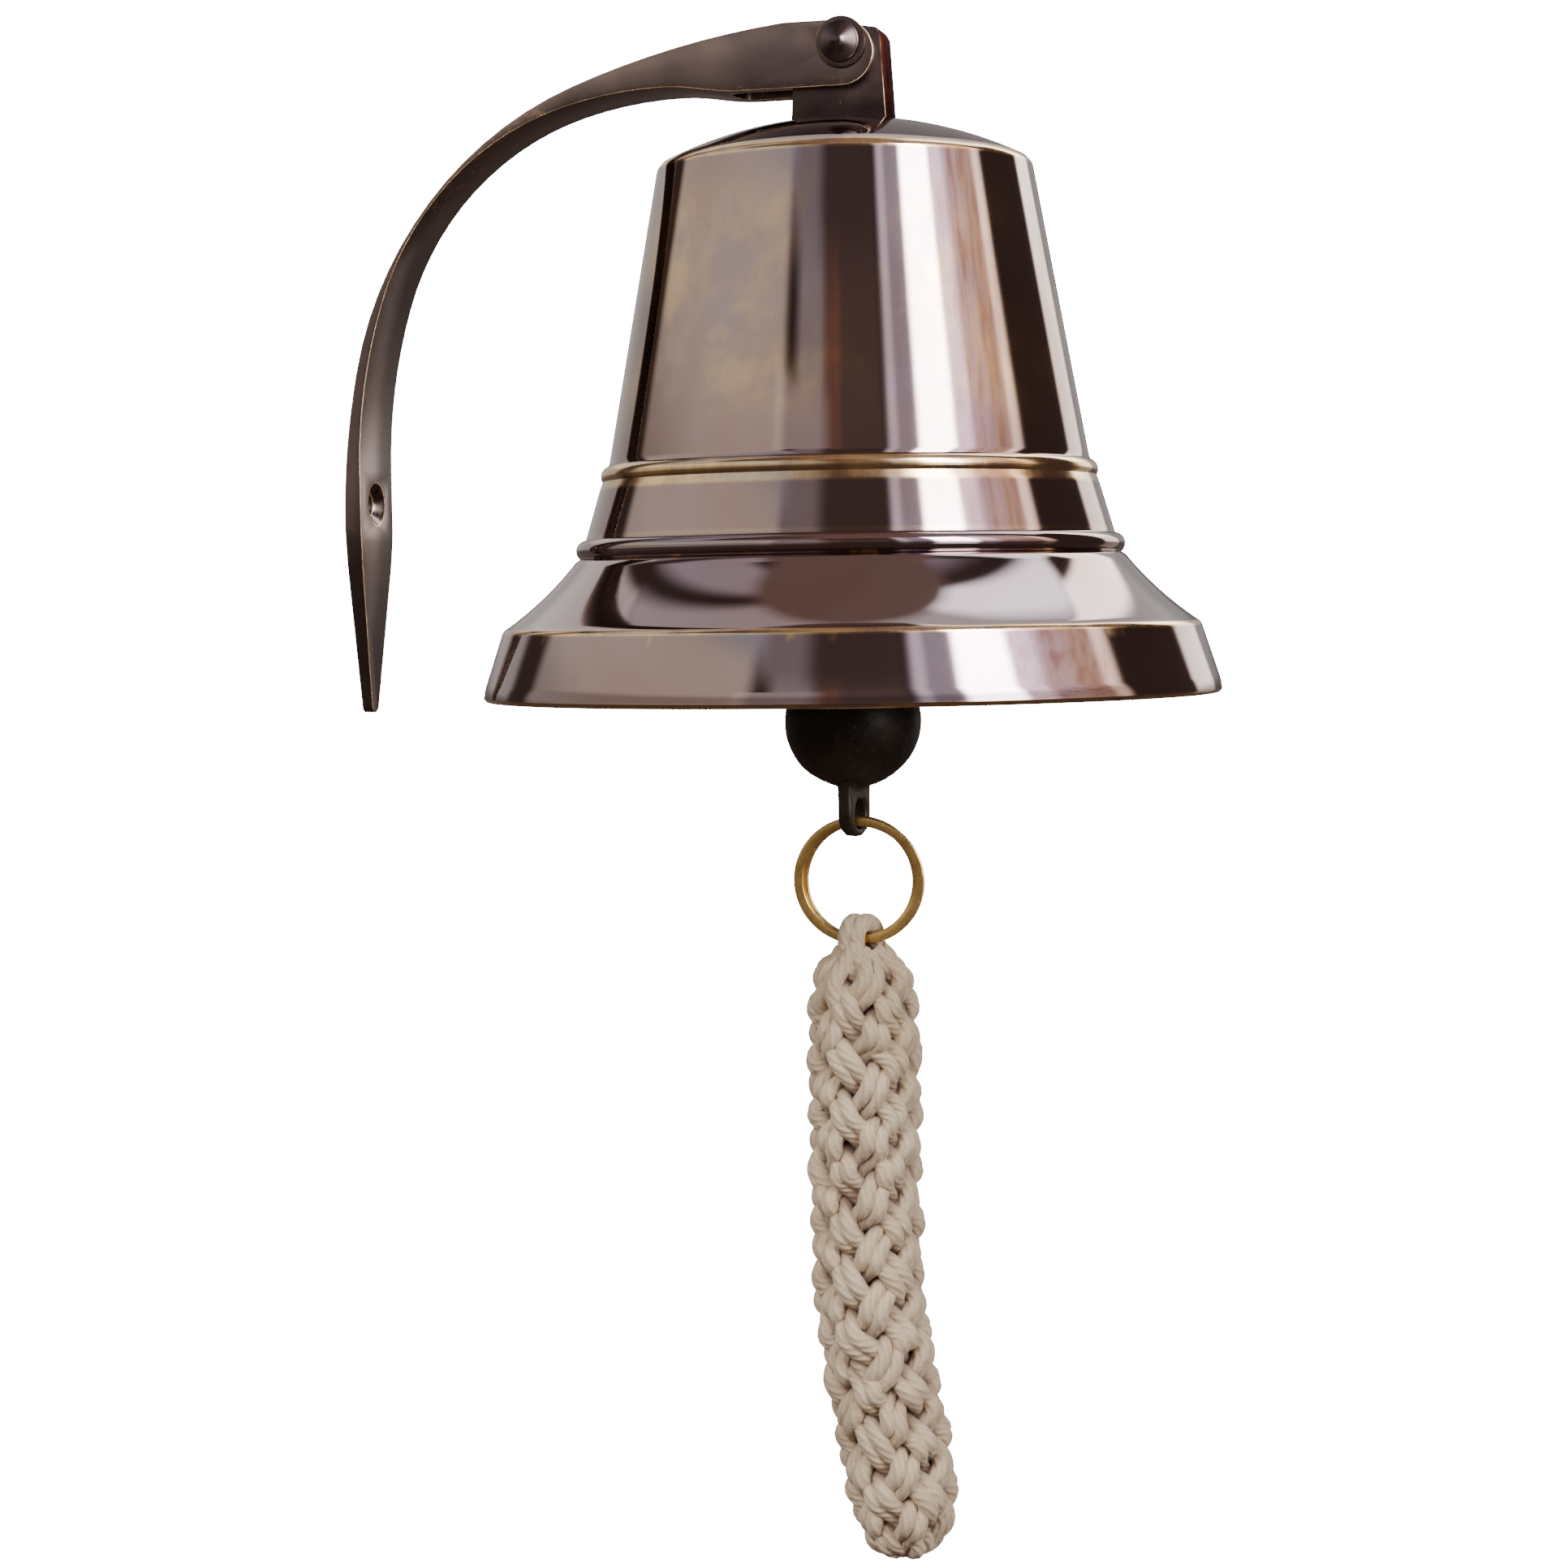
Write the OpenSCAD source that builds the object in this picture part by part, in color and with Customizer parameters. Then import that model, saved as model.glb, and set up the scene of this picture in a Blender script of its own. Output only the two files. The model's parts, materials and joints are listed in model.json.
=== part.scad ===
// Wall-hung ship bell: a cast J bracket, a turned bell on a pivot bolt, a cast clapper
// on a link, a split ring and a short plaited bell rope. The origin is the middle of the
// bracket's screw hole on the wall side. +X points away from the wall, +Z points up and
// Y = 0 is the bracket's middle plane.

/* [Bell] */
// Outside diameter of the bell's mouth
mouth_d = 152.4; // [151:0.1:154]
// Height of the upright band round the lip
lip_band_h = 14.8; // [14:0.1:15.2]
// Height of the shell from the lip to the top of its crown
shell_h = 118.3; // [118:0.1:119]
// Wall thickness of the bell's waist
wall = 2.8; // [2.2:0.1:3.2]

/* [Bracket] */
// Distance from the wall to the pivot bolt
reach = 110; // [108:0.5:112]
// Height of the pivot bolt above the screw hole
pin_z = 90.8; // [90.5:0.1:91]
// Width of the wall plate
plate_w = 18; // [17:0.5:20]
// Width of the arm and of the fork over its cheeks
arm_w = 16; // [15.5:0.1:16.5]
// Thickness of the wall plate at the screw hole
plate_t = 3.7; // [3.4:0.1:4]
// Width of the fork's slot
slot_w = 10; // [9.9:0.1:10.4]
// Diameter of the screw hole
screw_d = 5.2; // [4:0.1:6]

/* [Pivot] */
// Diameter of the pivot bolt
pin_d = 5.9; // [5.9:0.02:5.98]
// Diameter of the bores that the pivot bolt runs in
pin_bore_d = 6; // [6:0.01:6.06]

/* [Clapper] */
// Diameter of the clapper's bob
bob_d = 28.4; // [24:0.2:30]
// Distance between the two bends of the clapper's link
link_l = 12; // [11.5:0.1:12.5]

/* [Ring and rope] */
// Diameter of the split ring down the middle of its wire
ring_d = 24.8; // [24.6:0.1:25]
// Diameter of the plaited rope
rope_d = 21.5; // [18:0.5:23]
// Diameter of the cord that makes the rope's loop
cord_d = 3.8; // [3.4:0.1:4]

/* [Hidden] */
$fn = 64;

bronze = [0.20, 0.13, 0.13];
dark = [0.17, 0.15, 0.12];
yellow = [0.75, 0.55, 0.20];
cotton = [0.80, 0.72, 0.62];
far = 400;
through = 60;

// The bell hangs with its own axis a little nearer the wall than the pivot bolt.
bell_x = reach - 1.5;
lip_z = pin_z - 132.8;
mouth_r = mouth_d / 2;

// Crown: a shallow dome that meets the waist at the shoulder.
dome_r = 84.7;
crown_z = lip_z + shell_h;
dome_z = crown_z - dome_r;
shoulder_r = 38.6;
stud_d = 6;

// Fork: two cheeks with round ends.
cheek_bottom = 82.2;
slot_root_x = reach - 25;

// Chain of pivots inside the bell, from the crown down.
eye_wire_r = 1.6;
eye_r = 5;
link_wire_r = 1.5;
link_r = 3.5;
eye_z = lip_z + 100.2;
link_top_z = eye_z - eye_r;
link_bottom_z = link_top_z - link_l;
clapper_eye_z = link_bottom_z - eye_r;
bob_z = lip_z - 5;

// Tail of the clapper and the ring through it.
tail_w = 11.4;
tail_t = 3.2;
tail_turn = -8;
tail_hole_r = 3;
tail_hole_z = lip_z - 24.6;
ring_top_z = lip_z - 26.1;
ring_x = bell_x + 1;
ring_z = ring_top_z - ring_d / 2;
ring_band = 2.1;
coil_w = 1;
coil_step = 0.98;

// Rope: its loop runs round the bottom of the ring.
loop_r = 1.75 + cord_d / 2;
loop_z = ring_z - ring_d / 2;
rope_top_z = ring_z - ring_d / 2 - 2.3;
// Middle of the rope: distance from ring_x, depth below rope_top_z, and radius as a share.
rope_route = [[0, 0, 0.40], [0.3, 4, 0.86], [0.5, 12, 1], [0.5, 30, 1], [0.3, 50, 1],
              [0.6, 71, 1], [2.6, 86, 1], [4.6, 96.5, 1], [6.4, 109, 1], [7.6, 118, 0.86],
              [7.9, 125, 0.50], [8, 127.8, 0.16]];
rope_sides = 12;

// Points every few degrees along an arc that bends on from a heading.
// Headings are degrees from straight up, turning away from the wall.
function arc_points(from, start, end, r, steps = 8) =
    [for (i = [1 : steps])
        let (a = start + (end - start) * i / steps)
        [from[0] + r * (cos(start) - cos(a)), from[1] + r * (sin(a) - sin(start))]];
function last(points) = points[len(points) - 1];

// Outside of the arm: three arcs from the wall plate to the top of the fork.
outer_1 = arc_points([0, -5], 0, 11.4, 167);
outer_2 = arc_points(last(outer_1), 11.4, 70, 77, 14);
outer_3 = arc_points(last(outer_2), 70, 84.5, 185);
cheek_top = last(outer_3)[1];
cheek_r = (cheek_top - cheek_bottom) / 2;

// Inside of the arm: three arcs, then a slow dip to the bottom of the fork.
inner_1 = arc_points([plate_t, 7], 0, 18.15, 112.5);
inner_2 = arc_points(last(inner_1), 18.15, 75, 59.5, 14);
inner_3 = arc_points(last(inner_2), 75, 90, 84, 5);
dip_l = 16;
dip_steps = 8;
dip = [for (i = [1 : dip_steps])
    let (top = last(inner_3), t = i / dip_steps)
    [top[0] + dip_l * t, cheek_bottom + (top[1] - cheek_bottom) * (1 + cos(180 * t)) / 2]];

// Wall plate: it narrows to a round tip below the screw hole.
tip_z = -44.8;
tip_r = 1.9;
tip_t = 2.4;
plate_low_z = -8;

// A half circle round a middle, drawn clockwise from a compass angle.
function half_turn(middle, r, from) =
    [for (a = [from : -10 : from - 180]) middle + r * [cos(a), sin(a)]];
function reversed(points) = [for (i = [len(points) - 1 : -1 : 0]) points[i]];

// The bracket's outline seen from the side.
module side_outline() {
    polygon(concat([[0, tip_z], [0, -5]], outer_1, outer_2, outer_3,
                   half_turn([reach, cheek_bottom + cheek_r], cheek_r, 90), reversed(dip),
                   reversed(inner_3), reversed(inner_2), reversed(inner_1),
                   [[plate_t, 7], [plate_t, plate_low_z], [tip_t, tip_z]]));
}

// The bracket's outline seen from the front: a leaf-shaped plate under a narrower arm.
module front_outline() {
    edge = [[plate_w / 2 - 0.8, plate_low_z - 5], [plate_w / 2, plate_low_z + 2],
            [plate_w / 2, 10], [arm_w / 2, 60], [arm_w / 2, 110]];
    polygon(concat(half_turn([0, tip_z + tip_r], tip_r, 0),
                   [for (p = edge) [-p[0], p[1]]], reversed(edge)));
}

module wall_bracket() {
    color(bronze)
    difference() {
        intersection() {
            rotate([90, 0, 0]) linear_extrude(through, center = true) side_outline();
            rotate([90, 0, 90]) linear_extrude(far) front_outline();
        }
        translate([slot_root_x + slot_w / 2, -slot_w / 2, 0]) cube([through, slot_w, far]);
        translate([slot_root_x + slot_w / 2, 0, pin_z - 20]) cylinder(r = slot_w / 2, h = 40);
        translate([reach, 0, pin_z]) rotate([90, 0, 0])
            cylinder(d = pin_bore_d, h = through, center = true);
        rotate([0, 90, 0]) cylinder(d = screw_d, h = 20, center = true);
        translate([plate_t - 2, 0, 0]) rotate([0, 90, 0])
            cylinder(r1 = screw_d / 2, r2 = screw_d / 2 + 2.1, h = 2.1);
    }
}

// Cone head outside the near washer, shank, and a thread for the cap nut.
washer_t = 0.8;
washer_r = 5.2;
head_r = 4.15;
nut_h = 5.5;
module pivot_bolt() {
    color(bronze)
    translate([reach, -arm_w / 2 - washer_t, pin_z]) rotate([90, 0, 0]) {
        cylinder(r = head_r, h = 1);
        translate([0, 0, 1]) cylinder(r1 = head_r, r2 = 1.3, h = 1.6);
        translate([0, 0, 2.6]) cylinder(r1 = 1.3, r2 = 0.5, h = 0.5);
        mirror([0, 0, 1]) cylinder(d = pin_d, h = arm_w + 2 * washer_t + nut_h - 1.8);
    }
}

module pivot_washers() {
    color(bronze)
    for (side = [-1, 1])
        translate([reach, side * (arm_w + washer_t) / 2, pin_z]) rotate([90, 0, 0])
            difference() {
                cylinder(r = washer_r, h = washer_t, center = true);
                cylinder(d = pin_bore_d, h = washer_t + 1, center = true);
            }
}

// Domed cap nut on the far side.
module pivot_nut() {
    color(bronze)
    translate([reach, arm_w / 2 + washer_t, pin_z]) rotate([-90, 0, 0])
        difference() {
            union() {
                cylinder(d = 9.2, h = nut_h - 2.2, $fn = 6);
                intersection() {
                    translate([0, 0, nut_h - 5]) sphere(r = 5);
                    cylinder(r = 3.9, h = nut_h);
                }
            }
            translate([0, 0, -1]) cylinder(d = pin_bore_d, h = nut_h - 0.7);
        }
}

// Block brazed on the crown: its foot follows the dome, and it tapers to a sloped top.
lug_t = 9.6;
lug_foot = 20.2;
lug_round = 1.2;
lug_top = pin_z + 4;
module crown_lug() {
    color(bronze)
    translate([bell_x, 0, 0])
    difference() {
        intersection() {
            rotate([90, 0, 0]) linear_extrude(lug_t, center = true)
                polygon([[-lug_foot / 2, crown_z - 3], [-8.9, lug_top - 1.2],
                         [-7.9, lug_top], [3.5, lug_top], [8.1, lug_top - 0.8],
                         [8.9, lug_top - 2.2], [lug_foot / 2, crown_z - 3]]);
            translate([0, 0, crown_z - 3]) linear_extrude(40) {
                square([lug_foot + 1, lug_t - 2 * lug_round], center = true);
                square([lug_foot + 1 - 2 * lug_round, lug_t], center = true);
                for (x = [-1, 1], y = [-1, 1])
                    translate([x * ((lug_foot + 1) / 2 - lug_round),
                               y * (lug_t / 2 - lug_round)]) circle(r = lug_round);
            }
        }
        translate([0, 0, dome_z]) sphere(r = dome_r, $fn = 200);
        translate([reach - bell_x, 0, pin_z]) rotate([90, 0, 0])
            cylinder(d = pin_bore_d, h = through, center = true);
        translate([0, 0, crown_z - 4]) cylinder(d = stud_d, h = 12);
    }
}

// Outside of the shell, drawn as radius and height above the lip.
flare_r = 67.9;
module shell_outside() {
    intersection() {
        difference() {
            polygon([[0, 0], [mouth_r - 0.6, 0], [mouth_r, 0.7], [mouth_r - 0.3, 2.7],
                     [mouth_r - 4.1, lip_band_h - 0.6], [mouth_r - 4.7, lip_band_h],
                     [56.8, 28.4], [55.9, 29], [54.5, 33.4], [51.5, 43.4], [49.5, 48.6],
                     [shoulder_r, shell_h - 9.9], [shoulder_r - 1, shell_h - 8.9],
                     [0, shell_h + 1]]);
            intersection() {
                translate([109.8, 70.97]) circle(r = flare_r, $fn = 200);
                translate([50, lip_band_h]) square([40, 28.4 - lip_band_h]);
            }
        }
        translate([0, dome_z - lip_z]) circle(r = dome_r, $fn = 200);
    }
    // The two turned beads.
    translate([54.5, 30.7]) circle(r = 2.2);
    translate([49.1, 45.9]) circle(r = 2.2);
}

// Inside of the shell: thick at the lip, even round the waist and under the dome.
module shell_inside() {
    intersection() {
        polygon([[0, -1], [mouth_r - 4.6, -1], [mouth_r - 5.2, 0.6], [66.6, 13.4], [53.2, 26.8],
                 [49.2 + 2.6 - wall, 41], [49.4 - wall, 47], [shoulder_r - wall, shell_h - 12],
                 [shoulder_r - wall - 3, shell_h - 8], [0, shell_h]]);
        translate([0, dome_z - lip_z]) circle(r = dome_r - wall, $fn = 200);
    }
}

module bell_body() {
    color(bronze)
    translate([bell_x, 0, lip_z])
    difference() {
        rotate_extrude($fn = 180)
            intersection() {
                difference() {
                    shell_outside();
                    shell_inside();
                }
                translate([0, -1]) square([mouth_r + 2, shell_h + 2]);
            }
        translate([0, 0, shell_h - 10]) cylinder(d = stud_d, h = 20);
    }
}

// Washer and nut under the crown, round the eye bolt's shank.
shank_d = stud_d - 0.1;
eye_washer_t = 1.2;
eye_nut_h = 5;
washer_seat_z = lip_z + 115;
module clapper_eye_bolt() {
    color(dark)
    translate([bell_x, 0, 0]) {
        translate([0, 0, eye_z]) rotate([90, 0, 0])
            rotate_extrude() translate([eye_r, 0]) circle(r = eye_wire_r);
        translate([0, 0, eye_z + eye_r - 0.4]) cylinder(d = shank_d, h = crown_z + 7.5 - eye_z - eye_r);
    }
}

module eye_washer() {
    color(yellow)
    translate([bell_x, 0, washer_seat_z - eye_washer_t])
        difference() {
            cylinder(r = 7.5, h = eye_washer_t);
            translate([0, 0, -1]) cylinder(d = stud_d, h = 4);
        }
}

module eye_nut() {
    color(yellow)
    translate([bell_x, 0, washer_seat_z - eye_washer_t - eye_nut_h])
        difference() {
            cylinder(d = 11.5, h = eye_nut_h, $fn = 6);
            translate([0, 0, -1]) cylinder(d = stud_d, h = 8);
        }
}

// Closed link: two half rings joined by straight legs, in the plane across the bracket.
module half_ring(r, wire_r) {
    rotate([90, 0, 90]) rotate_extrude(angle = 180) translate([r, 0]) circle(r = wire_r, $fn = 32);
}

module clapper_link() {
    color(dark)
    translate([bell_x, 0, 0]) {
        translate([0, 0, link_top_z]) half_ring(link_r, link_wire_r);
        translate([0, 0, link_bottom_z]) mirror([0, 0, 1]) half_ring(link_r, link_wire_r);
        for (side = [-1, 1])
            translate([0, side * link_r, link_bottom_z]) cylinder(r = link_wire_r, h = link_l, $fn = 32);
    }
}

// Clapper: eye, tapered stem, round bob and flat tail.
module clapper() {
    color(dark)
    translate([bell_x, 0, 0]) {
        translate([0, 0, clapper_eye_z]) rotate([90, 0, 0])
            rotate_extrude() translate([eye_r, 0]) circle(r = eye_wire_r);
        translate([0, 0, bob_z]) cylinder(r1 = 4.4, r2 = 2.4, h = clapper_eye_z - eye_r - 0.6 - bob_z);
        translate([0, 0, bob_z]) sphere(d = bob_d);
        translate([0, 0, bob_z + bob_d * 0.36]) cylinder(r1 = bob_d * 0.345, r2 = 4, h = bob_d * 0.42);
        rotate([0, 0, tail_turn]) translate([-tail_t / 2, 0, 0])
            difference() {
                rotate([90, 0, 90]) linear_extrude(tail_t) {
                    translate([0, tail_hole_z + 1]) circle(r = tail_w / 2);
                    translate([-tail_w / 2, tail_hole_z + 1])
                        square([tail_w, bob_z - 8 - tail_hole_z - 1]);
                }
                translate([-2, 0, tail_hole_z]) rotate([0, 90, 0]) cylinder(r = tail_hole_r, h = 8);
            }
    }
}

// Split ring: two flat coils side by side, drawn as closed rings.
module split_ring() {
    color(yellow)
    translate([ring_x, 0, ring_z]) rotate([90, 0, 0])
        rotate_extrude($fn = 120)
            for (side = [-1, 1])
                translate([ring_d / 2, side * coil_step / 2]) {
                    square([ring_band - coil_w, coil_w], center = true);
                    for (edge = [-1, 1])
                        translate([edge * (ring_band - coil_w) / 2, 0]) circle(d = coil_w, $fn = 32);
                }
}

// Bight of cord over the bottom of the ring, down to the top of the plait.
module rope_loop() {
    color(cotton)
    translate([ring_x, 0, loop_z]) {
        half_ring(loop_r, cord_d / 2);
        for (side = [-1, 1])
            translate([0, side * loop_r, rope_top_z - loop_z])
                cylinder(d = cord_d, h = loop_z - rope_top_z, $fn = 32);
    }
}

// Plait: one tube swept along the route, level ring by level ring.
module rope_body() {
    n = len(rope_route);
    points = [for (p = rope_route, i = [0 : rope_sides - 1])
        [ring_x + p[0] + p[2] * rope_d / 2 * cos(360 * i / rope_sides),
         p[2] * rope_d / 2 * sin(360 * i / rope_sides),
         rope_top_z - p[1]]];
    walls = [for (k = [0 : n - 2], i = [0 : rope_sides - 1])
        let (j = (i + 1) % rope_sides)
        [k * rope_sides + i, k * rope_sides + j, (k + 1) * rope_sides + j, (k + 1) * rope_sides + i]];
    top = [[for (i = [rope_sides - 1 : -1 : 0]) i]];
    bottom = [[for (i = [0 : rope_sides - 1]) (n - 1) * rope_sides + i]];
    color(cotton) polyhedron(points, concat(walls, top, bottom));
}

wall_bracket();
pivot_bolt();
pivot_washers();
pivot_nut();
crown_lug();
bell_body();
clapper_eye_bolt();
eye_washer();
eye_nut();
clapper_link();
clapper();
split_ring();
rope_loop();
rope_body();
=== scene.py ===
# %% [markdown]
# # A wall-hung ship bell
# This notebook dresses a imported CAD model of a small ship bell: a cast bracket, a turned
# bell on a pivot bolt, a cast clapper on a link, a split ring and a short plaited rope.
# The CAD model fixes every size and every place. What is made here is the look.
# Lengths in the code are millimetres, and MM turns them into Blender's metres.

import json
import math
import random

import bmesh
import bpy
import numpy as np
from mathutils import Matrix, Vector, noise


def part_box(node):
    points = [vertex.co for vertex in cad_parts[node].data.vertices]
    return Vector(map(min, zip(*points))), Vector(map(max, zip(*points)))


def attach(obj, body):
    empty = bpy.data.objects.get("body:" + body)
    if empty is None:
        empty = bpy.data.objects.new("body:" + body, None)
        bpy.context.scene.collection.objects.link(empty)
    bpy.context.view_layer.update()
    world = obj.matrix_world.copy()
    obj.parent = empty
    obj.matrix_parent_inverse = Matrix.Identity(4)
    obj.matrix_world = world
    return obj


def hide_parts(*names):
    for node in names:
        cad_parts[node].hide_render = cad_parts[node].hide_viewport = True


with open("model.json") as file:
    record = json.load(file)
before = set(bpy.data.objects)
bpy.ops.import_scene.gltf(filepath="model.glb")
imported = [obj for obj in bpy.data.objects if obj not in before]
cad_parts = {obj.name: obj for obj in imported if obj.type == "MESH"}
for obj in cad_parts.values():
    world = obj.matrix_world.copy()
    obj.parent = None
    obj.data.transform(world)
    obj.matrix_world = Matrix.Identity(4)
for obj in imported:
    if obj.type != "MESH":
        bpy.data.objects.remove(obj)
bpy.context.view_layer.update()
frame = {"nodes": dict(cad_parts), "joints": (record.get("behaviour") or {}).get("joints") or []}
scene = bpy.context.scene
MM = 0.001
MM_PER_M = 1000
joints = {joint["name"]: Vector(joint["pos_m"]) for joint in frame["joints"]}
pivot = joints["bell_swing"]
bell_low, bell_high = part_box("bell_body")
bell_x = (bell_low.x + bell_high.x) / 2
lip_z = bell_low.z
print("bell axis at x", round(bell_x / MM, 2), "and its lip at z", round(lip_z / MM, 2))

# %% [markdown]
# ## Camera
# The camera stands a little to the right of the bell's side and a little above the rope,
# and looks slightly down, so that the bell's mouth shows as a thin ellipse. It is also
# rolled a little, which makes the bell lean by a degree. The axes are worked out from
# three angles, which is easier to read than a rotation matrix.

# %% Place the camera
CAMERA_SPOT = (0.2642, -0.6397, -0.0215)
LENS_MM = 72.76
turn = math.radians(14.94)
down = math.radians(3.36)
roll = math.radians(-0.905)
forward = Vector((-math.sin(turn) * math.cos(down), math.cos(turn) * math.cos(down), -math.sin(down)))
level = Vector((math.cos(turn), math.sin(turn), 0))
upward = level.cross(forward)
across = level * math.cos(roll) + upward * math.sin(roll)
above = upward * math.cos(roll) - level * math.sin(roll)
lens_data = bpy.data.cameras.new("camera")
lens_data.sensor_width = 36
lens_data.lens = LENS_MM
camera = bpy.data.objects.new("camera", lens_data)
camera_axes = Matrix((across, above, -forward)).transposed().to_4x4()
camera.matrix_world = Matrix.Translation(CAMERA_SPOT) @ camera_axes
scene.collection.objects.link(camera)
scene.camera = camera
print("camera at", [round(v, 3) for v in camera.location], "with a lens of", lens_data.lens, "mm")

# %% [markdown]
# ## From a mesh under construction to a finished piece
# Every piece is built as a bmesh, already in its real place. One helper turns it into
# an object at the origin, smooths its shading except over sharp corners, and lets it
# ride on the CAD body that it belongs to.

# %% A helper that finishes a piece
def finished(name, bm, body, replaced=(), crease=40.0):
    mesh = bpy.data.meshes.new(name)
    bm.to_mesh(mesh)
    bm.free()
    if "custom_normal" in mesh.attributes:
        mesh.attributes.remove(mesh.attributes["custom_normal"])
    mesh.shade_smooth()
    mesh.set_sharp_from_angle(angle=math.radians(crease))
    piece = bpy.data.objects.new(name, mesh)
    scene.collection.objects.link(piece)
    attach(piece, body)
    if replaced:
        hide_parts(*replaced)
    print(name, "has", len(mesh.vertices), "points and", len(mesh.polygons), "faces")
    return piece


# %% [markdown]
# ## Sweeping a tube
# A cord is an ellipse carried along a line. At each point of the line the ellipse needs
# a direction for its flat side: here that is "away from the middle of the rope", so the
# cords lie flat on the plait as soft cotton does. The sweep also writes a UV map whose
# first number runs once round the cord and whose second is the length in millimetres,
# which the cotton's twist follows later, and it marks how far out each point lies.

# %% A helper that sweeps a cord
def sweep(bm, line, outward, across_r, up_r, sides, twist_map, crown_layer, crown_of):
    """Each point of the line has a direction outward and two radii, across it and along it."""
    rings = []
    length = [0.0]
    for k, point in enumerate(line):
        ahead = line[min(k + 1, len(line) - 1)]
        behind = line[max(k - 1, 0)]
        along = (ahead - behind).normalized()
        up = (outward[k] - along * outward[k].dot(along)).normalized()
        side = along.cross(up)
        if k:
            length.append(length[-1] + (point - line[k - 1]).length / MM)
        ring = []
        for i in range(sides):
            angle = math.tau * i / sides
            spot = point + up * (up_r[k] * math.cos(angle)) + side * (across_r[k] * math.sin(angle))
            vertex = bm.verts.new(spot)
            vertex[crown_layer] = crown_of(spot)
            ring.append(vertex)
        rings.append(ring)
    for k in range(len(rings) - 1):
        for i in range(sides):
            j = (i + 1) % sides
            face = bm.faces.new((rings[k][i], rings[k][j], rings[k + 1][j], rings[k + 1][i]))
            for loop, (a, b) in zip(face.loops, ((i, k), (i + 1, k), (i + 1, k + 1), (i, k + 1))):
                loop[twist_map].uv = (a / sides, length[b])
    bm.faces.new(list(reversed(rings[0])))
    bm.faces.new(rings[-1])


def smooth_line(stations, step):
    """A Catmull-Rom curve through a few stations, sampled about every step metres."""
    ends = [stations[0] * 2 - stations[1], *stations, stations[-1] * 2 - stations[-2]]
    line = []
    for a, b, c, d in zip(ends, ends[1:], ends[2:], ends[3:]):
        count = max(2, round((c - b).length / step))
        for i in range(count):
            t = i / count
            line.append(0.5 * (2 * b + (c - a) * t + (2 * a - 5 * b + 4 * c - d) * t * t
                               + (3 * b - a - 3 * c + d) * t ** 3))
    return line + [stations[-1]]


# %% [markdown]
# ## The rope
# A bell rope like this one is a round sinnet: twelve doubled cotton cords, six winding
# one way and six the other, each passing over one and under the next. Where a cord
# passes over, it makes a plump lobe, and the lobes lie in upright columns that slant
# left and right by turns. Each cord's line is a helix that turns slowly while it lies
# on top and quickly while it dives, so the lobes come out steep, as on a real plait.
# The rope's path repeats the CAD route, so its length and its bend are the CAD's own.

# %% The rope's route
ring_low, ring_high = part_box("split_ring")
ring_mid = (ring_low + ring_high) / 2
ring_x = ring_mid.x
WIRE_HALF_TALL = 1.05
ring_r = (ring_high.x - ring_low.x) / 2 - WIRE_HALF_TALL * MM
rope_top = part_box("rope_body")[1].z
ROUTE = ((0, 0, 0.40), (0.3, 4, 0.86), (0.5, 12, 1), (0.5, 30, 1), (0.3, 50, 1), (0.6, 71, 1),
         (2.6, 86, 1), (4.6, 96.5, 1), (6.4, 109, 1), (7.6, 118, 0.86),
         (7.9, 125, 0.50), (8, 127.8, 0.16))
route_depth = [row[1] for row in ROUTE]
EASE = (-4, -2, 0, 2, 4)
ROPE_DEPTH = ROUTE[-1][1]
END_STARTS = 108.0
PLAIT_END = ROPE_DEPTH - 1.5


def route_middle(depth):
    sideways = np.mean([np.interp(depth + e, route_depth, [row[0] for row in ROUTE]) for e in EASE])
    return Vector((ring_x + sideways * MM, 0, rope_top - depth * MM))


def route_share(depth):
    return float(np.interp(depth, route_depth, [row[2] for row in ROUTE]))


def plait_share(depth):
    """As the route's, but with a fuller, rounder end where the cords are tucked in."""
    past = max(0.0, (depth - END_STARTS) / (PLAIT_END - END_STARTS))
    return route_share(depth) if depth < END_STARTS else max(0.0, 1 - past ** 3.2) ** 0.45


# %% Plait the strands
PITCH = 68.0
CROSSINGS = 12
PLAIT_R = 8.6
RISE = 1.55
SLOW = 0.66
LAY_UP = 0.42
LAY_ROUND = 0.91
GAP_R = 8.0
LOBE_TALL = 3.6
CORD_UP = 1.85
CORD_ACROSS = 1.72
PAIR = 1.32
RINGS_PER_CROSSING = 9
FIRST_COLUMN = math.radians(20)
HEART_R = 7.2
rng = random.Random(7)


def wander(scale):
    """A slow random wave: one for each strand, so that no two lobes are the same."""
    waves = [(rng.uniform(0.25, 1.3), rng.uniform(0, math.tau), rng.uniform(0.3, 1)) for _ in range(4)]
    total = sum(w[2] for w in waves)
    return lambda u: scale * sum(a * math.sin(f * math.pi * u + p) for f, p, a in waves) / total


def crown_of_plait(spot):
    """0 in the gaps of the plait, 1 on the crown of a lobe."""
    depth = (rope_top - spot.z) / MM
    share = max(plait_share(depth), 0.3)
    middle = route_middle(depth)
    reach = math.hypot(spot.x - middle.x, spot.y) / MM / share
    return min(1.0, max(0.0, (reach - GAP_R) / LOBE_TALL))


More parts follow.
